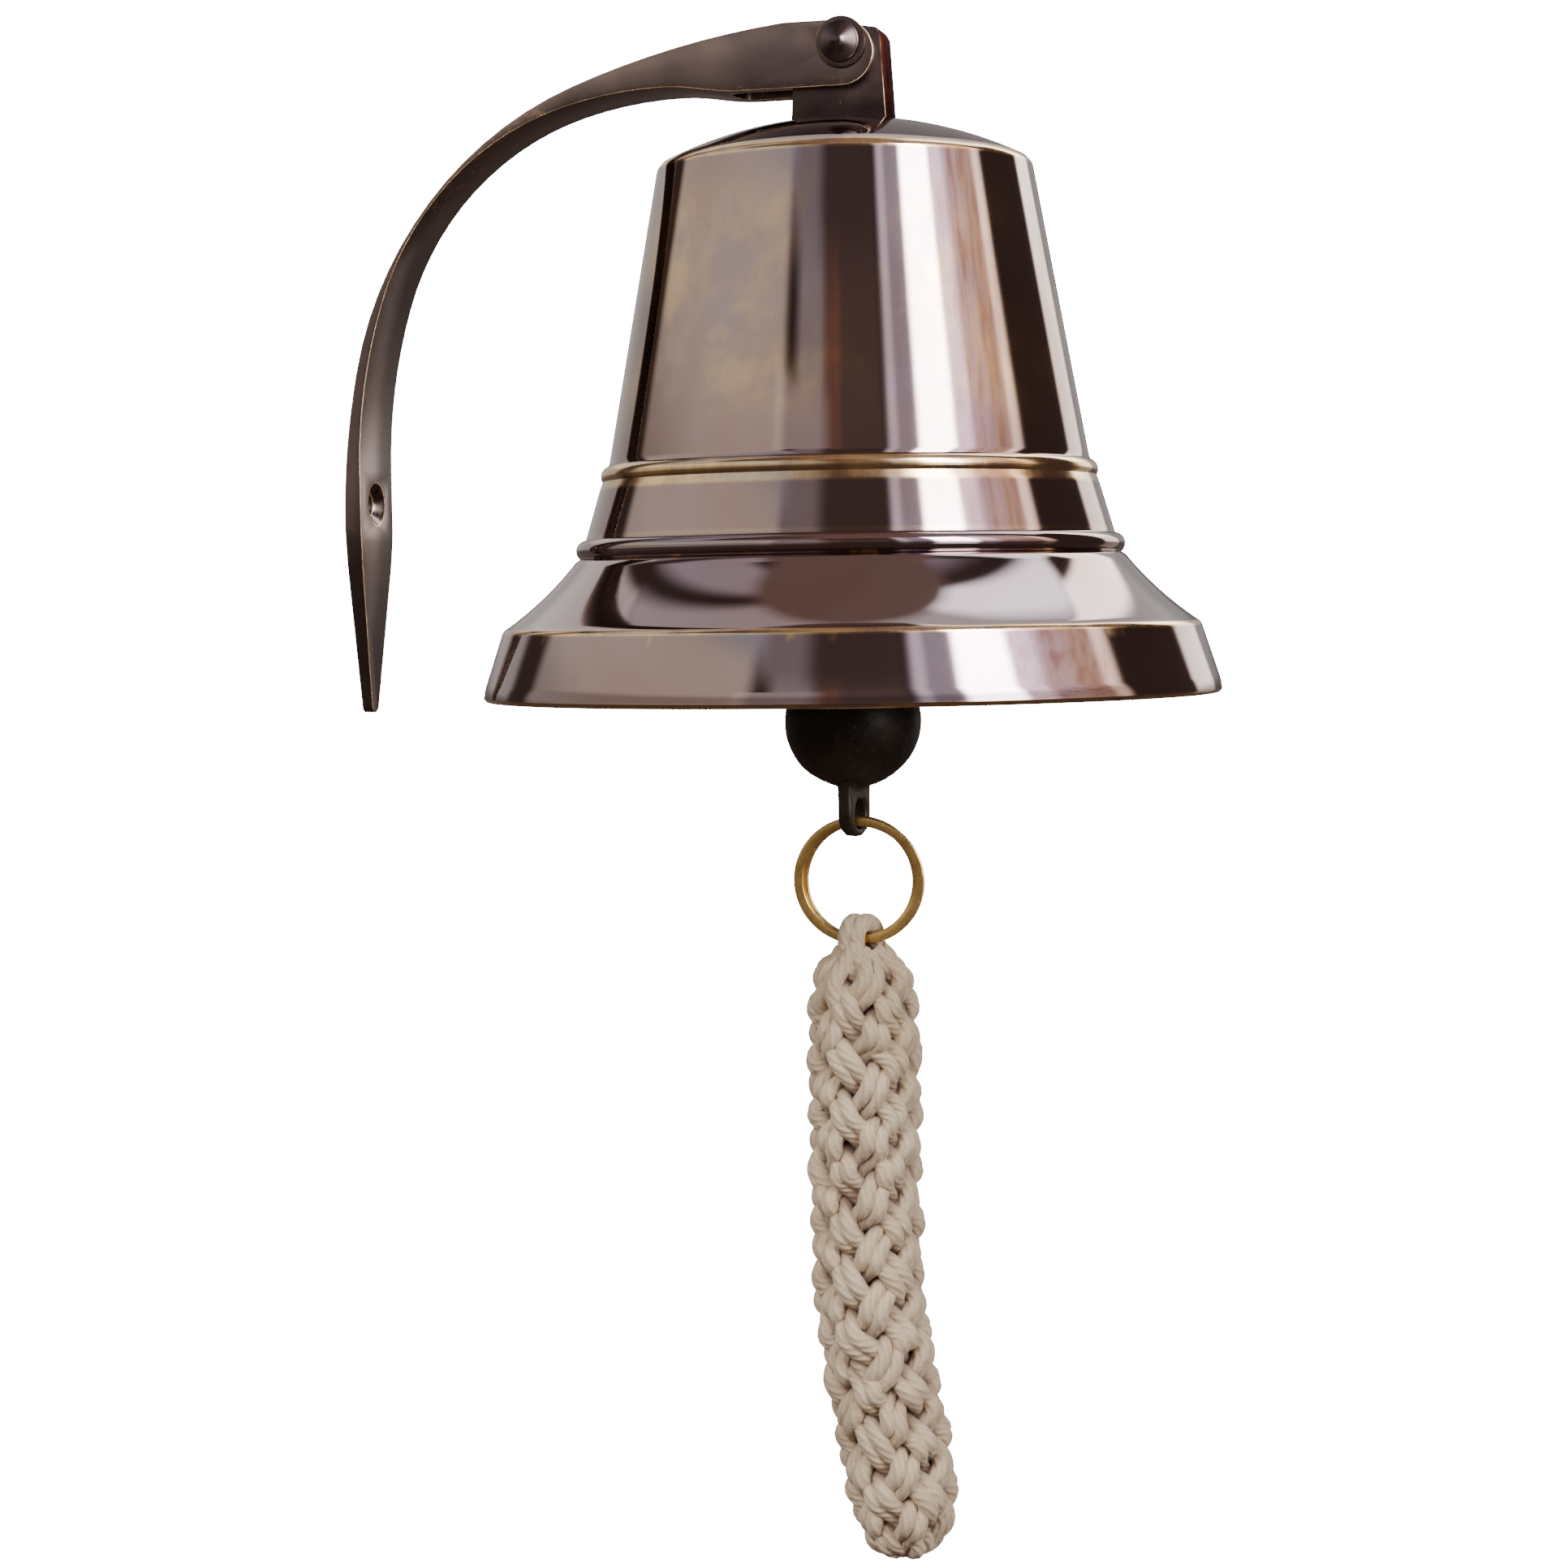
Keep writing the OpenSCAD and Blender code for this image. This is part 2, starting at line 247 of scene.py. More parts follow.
rope_bm = bmesh.new()
rope_twist = rope_bm.loops.layers.uv.new("twist")
rope_crown = rope_bm.verts.layers.float.new("crown")
crossing_gap = PITCH / CROSSINGS
last_crossing = PLAIT_END / crossing_gap
ring_count = round(last_crossing * RINGS_PER_CROSSING)
for way in (1, -1):
    for start in range(CROSSINGS // 2):
        lean, lift, plump, early = wander(0.13), wander(0.60), wander(0.16), wander(0.22)
        for side in (-1, 1):
            drift = wander(0.22)
            line, outward, wide, tall = [], [], [], []
            for k in range(ring_count + 1):
                u = last_crossing * k / ring_count
                beat = math.pi * (u + early(u))
                over = way * math.cos(beat)
                angle = way * math.tau / CROSSINGS * (u - SLOW * way * math.sin(beat) / math.pi)
                angle += math.tau * start / (CROSSINGS / 2) + FIRST_COLUMN + lean(u)
                share = plait_share(u * crossing_gap)
                radius = (PLAIT_R + RISE * over + lift(u)) * share
                out = Vector((math.cos(angle), math.sin(angle), 0))
                around = Vector((-math.sin(angle), math.cos(angle), 0)) * way
                steep = Vector((0, 0, 1)) * LAY_UP + around * LAY_ROUND
                middle = route_middle(u * crossing_gap)
                slim = 0.62 + 0.38 * share
                line.append(middle + out * radius * MM
                            + steep * side * (PAIR + drift(u)) * slim * MM)
                outward.append(out)
                wide.append(CORD_ACROSS * slim * (1 + 0.07 * over + plump(u)) * MM)
                tall.append(CORD_UP * slim * (1 + 0.12 * over + plump(u)) * MM)
            sweep(rope_bm, line, outward, wide, tall, 10, rope_twist, rope_crown, crown_of_plait)

# %% [markdown]
# A plait has a hollow middle, and light would show through its gaps. A heart of the same
# cotton fills it: one plain tube, a little thinner than the plait's own middle. It lies
# below the lobes, so the sweep's mark gives it the painted shade of the gaps.

# %% The rope's heart, and the finished rope
heart_depths = [1.5, 4, 8] + list(range(14, 112, 7)) + [115, 118, 121, 123.5, 125]
heart = [route_middle(d) for d in heart_depths]
heart_r = [HEART_R * plait_share(d) * MM for d in heart_depths]
sweep(rope_bm, heart, [Vector((1, 0, 0))] * len(heart), heart_r, heart_r, 20,
      rope_twist, rope_crown, crown_of_plait)
bmesh.ops.recalc_face_normals(rope_bm, faces=rope_bm.faces)
rope = finished("plaited_rope", rope_bm, "rope", ["rope_body"], crease=80)
loop_z = ring_mid.z - ring_r
rope_path = [(ring_x, 0, loop_z)] + [tuple(route_middle(d)) for d in np.arange(0, 127.9, 4.26)]

# %% [markdown]
# ## The rope's loop
# Two cords of the plait run up, over the bottom of the split ring and down again. Their
# front legs cross a little and their back legs spread to the rope's shoulders. A few
# listed stations for each are joined by a smooth curve.

# %% Bend the two cords of the loop
LOOP_R = 3.65
CORD_R = 1.95
LOOP_CROWN = 0.9
loop_bm = bmesh.new()
loop_twist = loop_bm.loops.layers.uv.new("twist")
loop_crown = loop_bm.verts.layers.float.new("crown")


def over_ring(middle_x, tilt, front, back):
    """Stations of one cord: up its front leg, half way round the ring, down its back leg."""
    bend = []
    for degrees in range(-10, 191, 25):
        a = math.radians(degrees)
        bend.append((middle_x - tilt * math.cos(a), -LOOP_R * math.cos(a), LOOP_R * math.sin(a)))
    stations = [*reversed(front), *bend, *back]
    return [Vector((ring_x + x * MM, y * MM, loop_z + z * MM)) for x, y, z in stations]


LOOP_CORDS = (
    over_ring(-1.3, 0.8, [(-2.4, -4.8, -4.4), (-5.0, -6.8, -8.5), (-7.4, -5.6, -13), (-5.0, -2.0, -17)],
              [(-2.4, 4.6, -5), (-4.8, 5.2, -9), (-4.0, 2.0, -15)]),
    over_ring(1.1, 1.4, [(-1.4, -6.0, -3.8), (-3.6, -8.4, -8.0), (-3.0, -8.2, -13), (-1.0, -4.0, -17)],
              [(3.6, 4.2, -4), (6.8, 2.4, -8), (6.8, 0.4, -13), (3.0, 0.0, -17)]),
)
for stations in LOOP_CORDS:
    line = smooth_line(stations, 0.7 * MM)
    outward = [Vector((p.x - ring_x, p.y, max(0, p.z - loop_z) + 1e-4)).normalized() for p in line]
    radius = [CORD_R * MM] * len(line)
    sweep(loop_bm, line, outward, radius, radius, 14, loop_twist, loop_crown,
          lambda spot: LOOP_CROWN)
bmesh.ops.recalc_face_normals(loop_bm, faces=loop_bm.faces)
rope_loop = finished("rope_loop_cords", loop_bm, "rope", ["rope_loop"], crease=80)

# %% [markdown]
# ## Turning on a lathe
# The bell and the pivot bolt are turned parts, so both start as an outline: corners and
# arcs drawn in one plane. An arc is the last point spun about its centre. Corners that a
# lathe tool or a polishing wheel would round are bevelled as points, and then the whole
# outline is spun once round its axis.

# %% A helper that draws and spins an outline
class Outline:
    """Radius along X and height along Z, in millimetres."""

    def __init__(self):
        self.bm = bmesh.new()
        self.tip = None
        self.first = None
        self.rounded = {}

    def to(self, r, h, soft=0.0):
        vertex = self.bm.verts.new((r * MM, 0, h * MM))
        if self.tip is None:
            self.first = vertex
        else:
            self.bm.edges.new((self.tip, vertex))
        if soft:
            self.rounded.setdefault(soft, []).append(vertex)
        self.tip = vertex

    def arc(self, r, h, degrees, steps):
        made = bmesh.ops.spin(self.bm, geom=[self.tip], cent=(r * MM, 0, h * MM), axis=(0, 1, 0),
                              angle=math.radians(degrees), steps=steps, use_duplicate=False)
        self.tip = made["geom_last"][0]

    def spun(self, steps, place, closed=True):
        bm = self.bm
        if closed:
            bm.edges.new((self.tip, self.first))
        for soft, corners in self.rounded.items():
            bmesh.ops.bevel(bm, geom=corners, offset=soft * MM, offset_type="OFFSET", segments=4,
                            profile=0.5, affect="VERTICES", clamp_overlap=True, material=-1)
        bmesh.ops.spin(bm, geom=bm.verts[:] + bm.edges[:], cent=(0, 0, 0), axis=(0, 0, 1),
                       angle=math.tau, steps=steps, use_merge=True, use_duplicate=False)
        bmesh.ops.remove_doubles(bm, verts=bm.verts, dist=0.005 * MM)
        bmesh.ops.transform(bm, matrix=place, verts=bm.verts)
        bmesh.ops.recalc_face_normals(bm, faces=bm.faces)
        return bm


# %% [markdown]
# ## The bell
# The shell is cast thick at the lip and thin at the waist, then turned all over. Its
# outline runs from the bolt hole in the crown over the shallow dome, down the waist with
# its two beads, down the hollow flare to the lip band, and back up the inside. Each face
# of the inside is marked, because nobody polishes a bell's inside.

# %% Turn the bell
DOME = (0, 33.6)
UPPER_BEAD = (49.1, 45.9)
LOWER_BEAD = (54.5, 30.7)
FLARE = (109.8, 70.97)
bell_outline = Outline()
bell_outline.to(3.0, 118.25)
bell_outline.arc(*DOME, 24.3, 16)
bell_outline.to(38.6, 108.4, 0.45)
bell_outline.to(49.5, 48.6, 0.5)
bell_outline.to(49.73, 48.01)
bell_outline.arc(*UPPER_BEAD, 104.6, 14)
bell_outline.to(51.5, 43.4, 0.4)
bell_outline.to(54.5, 33.4, 0.3)
bell_outline.to(54.66, 32.89)
bell_outline.arc(*LOWER_BEAD, 136.3, 16)
bell_outline.to(56.85, 28.35)
bell_outline.arc(*FLARE, -16.7, 14)
bell_outline.to(71.6, 14.8, 0.2)
bell_outline.to(72.1, 14.2, 0.25)
bell_outline.to(75.9, 2.7, 0.8)
bell_outline.to(76.2, 0.7, 0.25)
bell_outline.to(75.6, 0, 0.25)
bell_outline.to(71.6, 0, 0.25)
bell_outline.to(71.0, 0.6, 0.25)
bell_outline.to(66.6, 13.4, 4)
bell_outline.to(53.2, 26.8, 4)
bell_outline.to(49.0, 41, 2)
bell_outline.to(46.6, 47, 2)
bell_outline.to(35.8, 106.3, 0.5)
bell_outline.to(34.68, 107.8)
bell_outline.arc(*DOME, -22.95, 14)
bell_bm = bell_outline.spun(192, Matrix.Translation((bell_x, 0, lip_z)))
inner = bell_bm.faces.layers.float.new("inner")
belly = Vector((bell_x, 0, lip_z + 45 * MM))
for face in bell_bm.faces:
    face[inner] = float(face.normal.dot((face.calc_center_median() - belly).normalized()) < -0.2)
bell = finished("bell_shell", bell_bm, "bell", ["bell_body"])

# %% [markdown]
# ## The pivot bolt
# Its head is a flat disc with a low cone turned on it, and a small tip is left where the
# tool finished. The shank runs through both cheeks of the fork and the lug.

# %% Turn the pivot bolt
bolt_low, bolt_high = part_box("pivot_bolt")
head_face = 3.1
shank_end = head_face - (bolt_high.y - bolt_low.y) / MM
bolt_outline = Outline()
bolt_outline.to(0, shank_end)
bolt_outline.to(2.95, shank_end, 0.3)
bolt_outline.to(2.95, 0)
bolt_outline.to(4.15, 0, 0.2)
bolt_outline.to(4.15, 1.0, 0.22)
bolt_outline.to(3.75, 1.15, 0.1)
bolt_outline.to(1.45, 2.45, 0.25)
bolt_outline.to(1.2, 2.65, 0.1)
bolt_outline.to(0.75, 3.0, 0.3)
bolt_outline.to(0, head_face)
bolt_place = (Matrix.Translation((pivot.x, bolt_low.y + head_face * MM, pivot.z))
              @ Matrix.Rotation(math.radians(90), 4, "X"))
bolt_bm = bolt_outline.spun(64, bolt_place, closed=False)
bolt_bm.faces.layers.float.new("worn")
bolt = finished("pivot_bolt_turned", bolt_bm, "bracket", ["pivot_bolt"], crease=30)

# %% [markdown]
# ## Cast and machined pieces
# The bracket, the lug, the washers and the nuts already have their true shape in CAD,
# but their edges are perfectly sharp, and no real casting is. A copy of each CAD mesh
# has its loose triangles merged and its flat faces joined up, and then its sharp edges
# are bevelled. The new narrow faces are marked as worn: that is where the dark finish
# rubs through to bright metal.

# %% A helper that softens a copy of a CAD piece
def softened(node, name, body, width, segments=2, sharp=32.0):
    bm = bmesh.new()
    bm.from_mesh(frame["nodes"][node].data)
    bmesh.ops.remove_doubles(bm, verts=bm.verts, dist=0.004 * MM)
    bmesh.ops.dissolve_limit(bm, angle_limit=math.radians(0.5), verts=bm.verts, edges=bm.edges,
                             use_dissolve_boundaries=False)
    edges = [e for e in bm.edges
             if len(e.link_faces) == 2 and e.calc_face_angle(0) > math.radians(sharp)]
    worn = bm.faces.layers.float.new("worn")
    made = bmesh.ops.bevel(bm, geom=edges, offset=width * MM, offset_type="OFFSET", segments=segments,
                           profile=0.5, affect="EDGES", clamp_overlap=True, material=-1)
    for face in made["faces"]:
        face[worn] = 1.0
    bmesh.ops.triangulate(bm, faces=[f for f in bm.faces if len(f.verts) > 4])
    return finished(name, bm, body, [node])


bracket = softened("wall_bracket", "cast_bracket", "bracket", 0.95, 3)
lug = softened("crown_lug", "brazed_lug", "bell", 0.35, 2)
washers = softened("pivot_washers", "pivot_washers_turned", "bracket", 0.12, 2)
cap_nut = softened("pivot_nut", "pivot_cap_nut", "bracket", 0.22, 2, 25)
eye_bolt = softened("clapper_eye_bolt", "forged_eye_bolt", "bell", 0.15, 1, 60)
eye_washer = softened("eye_washer", "crown_washer", "bell", 0.15, 2)
eye_nut = softened("eye_nut", "crown_nut", "bell", 0.3, 2, 40)
link = softened("clapper_link", "bent_link", "link", 0.1, 1, 60)

# %% [markdown]
# ## The clapper
# The clapper is a rough sand casting: eye, stem, bob and flat tail in one. Its CAD solid
# is remeshed into even small squares, so that all the joins between its simple shapes
# melt together as they do in cast metal. Then every point moves a little in or out by
# smooth noise, which leaves the low facets that a file has left on the bob.

# %% Melt and roughen the clapper
def recast(node, name, body, voxel, rounds, bulge):
    source = bmesh.new()
    source.from_mesh(frame["nodes"][node].data)
    bmesh.ops.remove_doubles(source, verts=source.verts, dist=0.004 * MM)
    mesh = bpy.data.meshes.new(name + "_rough")
    source.to_mesh(mesh)
    source.free()
    rough = bpy.data.objects.new(name + "_rough", mesh)
    scene.collection.objects.link(rough)
    remesh = rough.modifiers.new("remesh", "REMESH")
    remesh.mode = "VOXEL"
    remesh.voxel_size = voxel * MM
    even = bpy.data.meshes.new_from_object(rough.evaluated_get(bpy.context.evaluated_depsgraph_get()))
    bpy.data.objects.remove(rough)
    bm = bmesh.new()
    bm.from_mesh(even)
    for _ in range(rounds):
        bmesh.ops.smooth_vert(bm, verts=bm.verts, factor=0.5, use_axis_x=True, use_axis_y=True,
                              use_axis_z=True)
    bm.normal_update()
    moves = []
    for vertex in bm.verts:
        spot = vertex.co / MM
        wide = noise.noise(spot * 0.16)
        fine = noise.noise(spot * 0.7 + Vector((9, 4, 2)))
        moves.append(vertex.normal * (bulge * (wide + 0.3 * fine) * MM))
    for vertex, move in zip(bm.verts, moves):
        vertex.co += move
    return finished(name, bm, body, [node], crease=60)


clapper = recast("clapper", "cast_clapper", "clapper", 0.5, 3, 0.22)

# %% [markdown]
# ## The split ring
# A split ring is one flat wire wound nearly twice round. The first turn lies in front;
# near its end the wire steps across and the second turn lies behind. So a rounded
# rectangle is spun through less than two turns, and then each copy of it is pushed to
# the front or the back by how far round it is, and the two turns part a little at the
# sides. The order in which spin adds the points tells how far round each one is.

# %% Wind the split ring
WIRE_HALF_WIDE = 0.47
COIL_STEP = 0.98
RING_SPAN = 700
STEP_HALF_SPAN = 22
OPENING = 0.18
ring_steps = 220


def rise(value, start, end):
    """0 before start, 1 after end and a smooth rise from one to the other."""
    share = min(1.0, max(0.0, (value - start) / (end - start)))
    return share * share * (3 - 2 * share)


ring_bm = bmesh.new()
corner = [ring_bm.verts.new((ring_r + a * WIRE_HALF_TALL * MM, b * WIRE_HALF_WIDE * MM, 0))
          for a, b in ((-1, -1), (1, -1), (1, 1), (-1, 1))]
for a, b in zip(corner, corner[1:] + corner[:1]):
    ring_bm.edges.new((a, b))
bmesh.ops.bevel(ring_bm, geom=corner, offset=0.36 * MM, offset_type="OFFSET", segments=3, profile=0.5,
                affect="VERTICES", clamp_overlap=True, material=-1)
wire_points = len(ring_bm.verts)
bmesh.ops.spin(ring_bm, geom=ring_bm.verts[:] + ring_bm.edges[:], cent=(0, 0, 0), axis=(0, -1, 0),
               angle=math.radians(RING_SPAN), steps=ring_steps, use_merge=False, use_duplicate=False)
ring_bm.verts.ensure_lookup_table()
start_angle = Matrix.Rotation(math.radians(80), 4, "Y")
for index, vertex in enumerate(ring_bm.verts):
    degrees = RING_SPAN * (index // wire_points) / ring_steps
    from_middle = degrees - RING_SPAN / 2
    eased = rise(from_middle, -STEP_HALF_SPAN, STEP_HALF_SPAN)
    opening = OPENING * (1 - math.cos(math.radians(from_middle))) * (2 * eased - 1)
    spoke = Vector((vertex.co.x, 0, vertex.co.z)).normalized()
    sideways = (start_angle @ spoke).x ** 2
    vertex.co += spoke * sideways * (0.15 + 0.40 * (1 - 2 * eased)) * MM
    vertex.co.y += (COIL_STEP * (eased - 0.5) + opening) * MM
open_edges = [e for e in ring_bm.edges if len(e.link_faces) == 1]
bmesh.ops.holes_fill(ring_bm, edges=open_edges, sides=0)
bmesh.ops.recalc_face_normals(ring_bm, faces=ring_bm.faces)
bmesh.ops.transform(ring_bm, matrix=Matrix.Translation(ring_mid) @ start_angle, verts=ring_bm.verts)
ring_bm.faces.layers.float.new("worn")
split_ring = finished("wound_split_ring", ring_bm, "ring", ["split_ring"], crease=50)

# %% [markdown]
# ## Shader arithmetic in plain Python
# A material is a graph of nodes, and most of its nodes only do sums. This class wraps
# one socket: adding, multiplying or subtracting two of them adds the Math node that does
# it. Every other node comes from one method, which sets the node's settings first and
# its sockets after.

# %% A socket that does sums
class Wire:
    def __init__(self, tree, socket=None):
        self.tree = tree
        self.socket = socket

    def node(self, kind, settings=None, inputs=None, out=0):
        made = self.tree.nodes.new("ShaderNode" + kind)
        for key, value in (settings or {}).items():
            setattr(made, key, value)
        for key, value in (inputs or {}).items():
            if isinstance(value, Wire):
                self.tree.links.new(value.socket, made.inputs[key])
            else:
                made.inputs[key].default_value = value
        return None if out is None else Wire(self.tree, made.outputs[out])

    def sum(self, operation, *values):
        return self.node("Math", {"operation": operation}, dict(enumerate(values)))

    def __add__(self, other):
        return self.sum("ADD", self, other)

    def __radd__(self, other):
        return self.sum("ADD", other, self)

    def __sub__(self, other):
        return self.sum("SUBTRACT", self, other)

    def __rsub__(self, other):
        return self.sum("SUBTRACT", other, self)

    def __mul__(self, other):
        return self.sum("MULTIPLY", self, other)

    def __rmul__(self, other):
        return self.sum("MULTIPLY", other, self)

    def __truediv__(self, other):
        return self.sum("DIVIDE", self, other)

    def __rtruediv__(self, other):
        return self.sum("DIVIDE", other, self)

    def __pow__(self, other):
        return self.sum("POWER", self, other)

    def between(self, low, high):
        """0 below low, 1 above high and a smooth rise from one to the other."""
        return self.node("MapRange", {"interpolation_type": "SMOOTHSTEP"},
                         {"Value": self, "From Min": low, "From Max": high})

    def hump(self, start, full, fade, end):
        """0, up to 1 between start and full, and down to 0 between fade and end."""
        return self.between(start, full) * (1 - self.between(fade, end))

    def mixed(self, first, second):
        """A colour between first and second by this value."""
        both = [(*c, 1) if isinstance(c, tuple) else c for c in (first, second)]
        return self.node("Mix", {"data_type": "RGBA"}, {0: self, 6: both[0], 7: both[1]}, 2)

    def grain(self, scale, detail=2.0, rough=0.5, stretch=(1, 1, 1), warp=0.0):
        """Noise on this vector, from about 0 to 1."""
        moved = self.node("Mapping", {}, {"Vector": self, "Scale": stretch})
        return self.node("TexNoise", {}, {"Vector": moved, "Scale": scale, "Detail": detail,
                                          "Roughness": rough, "Distortion": warp})


def new_finish(name, *pieces):
    """An empty material on these pieces, and a wire to start from."""
    material = bpy.data.materials.new(name)
    material.use_nodes = True
    material.node_tree.nodes.clear()
    for piece in pieces:
        piece.data.materials.clear()
        piece.data.materials.append(material)
    return Wire(material.node_tree)


def surface(start, **inputs):
    """The Principled shader with these sockets, joined to the material's output."""
    named = {key.replace("_", " "): value for key, value in inputs.items()}
    shader = start.node("BsdfPrincipled", {}, named)
    start.node("OutputMaterial", {}, {"Surface": shader}, out=None)


# %% [markdown]
# ## Bell bronze
# The bell is bronze with a thin dark chemical finish, polished over a felt wheel. So it
# is a mirror, but a brown and slightly cloudy one. Three things change over it: soft
# clouds in the finish, from plum to tan; faint lines left by the lathe and the wheel,
# which run round it; and bright gold where the finish has been rubbed off, at the
# shoulder, on the upper bead and along both edges of the lip band.

# %% Colour the bell
PLUM = (0.275, 0.195, 0.180)
SLATE = (0.300, 0.228, 0.232)
TAN = (0.450, 0.325, 0.205)
GOLD = (0.800, 0.560, 0.270)
RAW_INSIDE = (0.300, 0.200, 0.140)
start = new_finish("bell_bronze", bell)
place = start.node("TexCoord", out="Object")
axes = start.node("VectorMath", {"operation": "SUBTRACT"}, {0: place, 1: (bell_x, 0, lip_z)})
east, north, height = (start.node("SeparateXYZ", {}, {0: axes}, out=axis) * MM_PER_M
                       for axis in "XYZ")
radius = (east * east + north * north) ** 0.5
clouds = place.grain(22, 3, 0.55, warp=0.6)
patches = place.grain(46, 4, 0.6, stretch=(1, 1, 0.8))
wheel = place.grain(900, 3, 0.7, stretch=(0.03, 0.03, 1))
rub = place.grain(120, 3, 0.65, stretch=(1, 1, 0.5))
inside = start.node("Attribute", {"attribute_name": "inner"}, out="Fac")
patina = clouds.between(0.36, 0.66).mixed(SLATE, PLUM)
patina = (patches.between(0.42, 0.66) * height.hump(50, 66, 92, 108) * 0.9).mixed(patina, TAN)
edge_wear = (height.hump(107.4, 108.2, 109.2, 110.4) * radius.between(36.0, 37.2)
             + height.hump(13.5, 14.1, 14.6, 15.2) * radius.between(69.5, 70.5)
             + (1 - height.between(0.35, 1.3)) * radius.between(73.8, 74.8))
edge_wear = edge_wear * (0.35 + 0.65 * rub.between(0.25, 0.60))
smudge = (height.hump(0.6, 1.5, 3.0, 5.0) * rub.between(0.62, 0.74) * 0.6
          + height.hump(11.5, 13, 14, 15) * rub.between(0.60, 0.74) * 0.6) * radius.between(69.5, 71)
bead_wear = (height.hump(42.6, 43.6, 47.4, 48.2) * radius.between(49.4, 50.0)
             * (0.55 + 0.45 * rub.between(0.35, 0.65)))
thin_line = (height.hump(28.1, 28.5, 29.0, 29.7) * radius.between(54.8, 55.4)
             * rub.between(0.52, 0.66) * 0.5
             + height.hump(33.0, 33.3, 33.6, 34.2) * radius.between(53.5, 54.0) * 0.15)
worn = (edge_wear + smudge + bead_wear + thin_line) * (1 - inside)
worn = worn.sum("MINIMUM", worn, 1.0)
colour = (worn * 0.85).mixed(patina, GOLD)
colour = inside.mixed(colour, RAW_INSIDE)
shine = 0.03 + clouds * 0.03 + patches * 0.03 + worn * 0.12 + inside * 0.25
bumps = start.node("Bump", {}, {"Strength": 0.02, "Distance": 0.00001, "Height": wheel + patches})
surface(start, Base_Color=colour, Metallic=1.0, Roughness=shine, Normal=bumps)

# %% [markdown]
# ## Bracket bronze
# The bracket is the same metal, but darker and left as cast under its gloss. Its bevelled
# edges are rubbed bright along their whole length. The flanks of the arm near the bend
# have a fine copper grain, where the sand's skin was buffed but not cut away.

# %% Colour the bracket
CAST_DARK = (0.135, 0.100, 0.094)
CAST_LIGHT = (0.215, 0.158, 0.140)
COPPER = (0.56, 0.33, 0.18)
GILT = (0.90, 0.64, 0.33)
start = new_finish("bracket_bronze", bracket)
place = start.node("TexCoord", out="Object")
worn_edge = start.node("Attribute", {"attribute_name": "worn"}, out="Fac")
clouds = place.grain(35, 3, 0.55)
pits = place.grain(520, 4, 0.7)
flow = place.grain(90, 3, 0.6, stretch=(1, 0.4, 1))
rub = place.grain(150, 2, 0.6)
drop = (pivot.z - start.node("SeparateXYZ", {}, {0: place}, out="Z")) * MM_PER_M
buffed = drop.hump(5, 11, 22, 36) * pits.between(0.48, 0.66) * flow.between(0.42, 0.62) * 0.5
patina = clouds.between(0.35, 0.68).mixed(CAST_DARK, CAST_LIGHT)
patina = (buffed * 0.9).mixed(patina, COPPER)
gilt = worn_edge * (0.6 + 0.4 * rub.between(0.30, 0.60))
colour = gilt.mixed(patina, GILT)
shine = 0.19 + clouds * 0.08 + buffed * 0.14 + gilt * 0.16
bumps = start.node("Bump", {}, {"Strength": 0.08, "Distance": 0.00010, "Height": flow + pits * 0.05})
surface(start, Base_Color=colour, Metallic=1 - 0.4 * gilt - 0.3 * buffed, Roughness=shine, Normal=bumps)

# %% [markdown]
# ## Dark bronze
# The lug, the pivot bolt and the parts inside the bell have the darkest finish. The
# bolt's head carries the rings of its last cut.

# %% Colour the lug, the bolt and the parts inside
UMBER = (0.085, 0.062, 0.060)
COCOA = (0.150, 0.108, 0.098)
RUSSET = (0.45, 0.27, 0.22)
DULL_GILT = (0.55, 0.38, 0.22)
CUT_RINGS = 14.0
start = new_finish("dark_bronze", lug, bolt, washers, cap_nut, eye_bolt, link)
place = start.node("TexCoord", out="Object")
worn_edge = start.node("Attribute", {"attribute_name": "worn"}, out="Fac")
clouds = place.grain(60, 3, 0.55)
pits = place.grain(700, 3, 0.7)
rub = place.grain(240, 2, 0.6)
off_pin = start.node("VectorMath", {"operation": "SUBTRACT"}, {0: place, 1: tuple(pivot)})
off_pin = start.node("VectorMath", {"operation": "MULTIPLY"}, {0: off_pin, 1: (1, 0, 1)})
from_pin = start.node("VectorMath", {"operation": "LENGTH"}, {0: off_pin}, out="Value") * MM_PER_M
rings = from_pin.sum("SINE", from_pin * CUT_RINGS)
near_pin = 1 - from_pin.between(4.3, 4.6)
speck = pits.between(0.66, 0.74)
patina = clouds.between(0.35, 0.7).mixed(UMBER, COCOA)
patina = (speck * 0.5).mixed(patina, RUSSET)
gilt = worn_edge * (0.15 + 0.5 * rub.between(0.35, 0.62))
colour = gilt.mixed(patina, DULL_GILT)
shine = 0.26 + clouds * 0.12 + speck * 0.15
bumps = start.node("Bump", {}, {"Strength": 0.12, "Distance": 0.00005,
                                "Height": rings * near_pin * 0.35 + pits * 0.4})
surface(start, Base_Color=colour, Metallic=1.0, Roughness=shine,
        Specular_Tint=(0.22, 0.17, 0.17, 1), Normal=bumps)

# %% [markdown]
# ## Yellow brass
# The split ring and the nut under the crown are plain drawn brass: warm, bright and
# finely scratched, a little browner where fingers and cord have touched it.

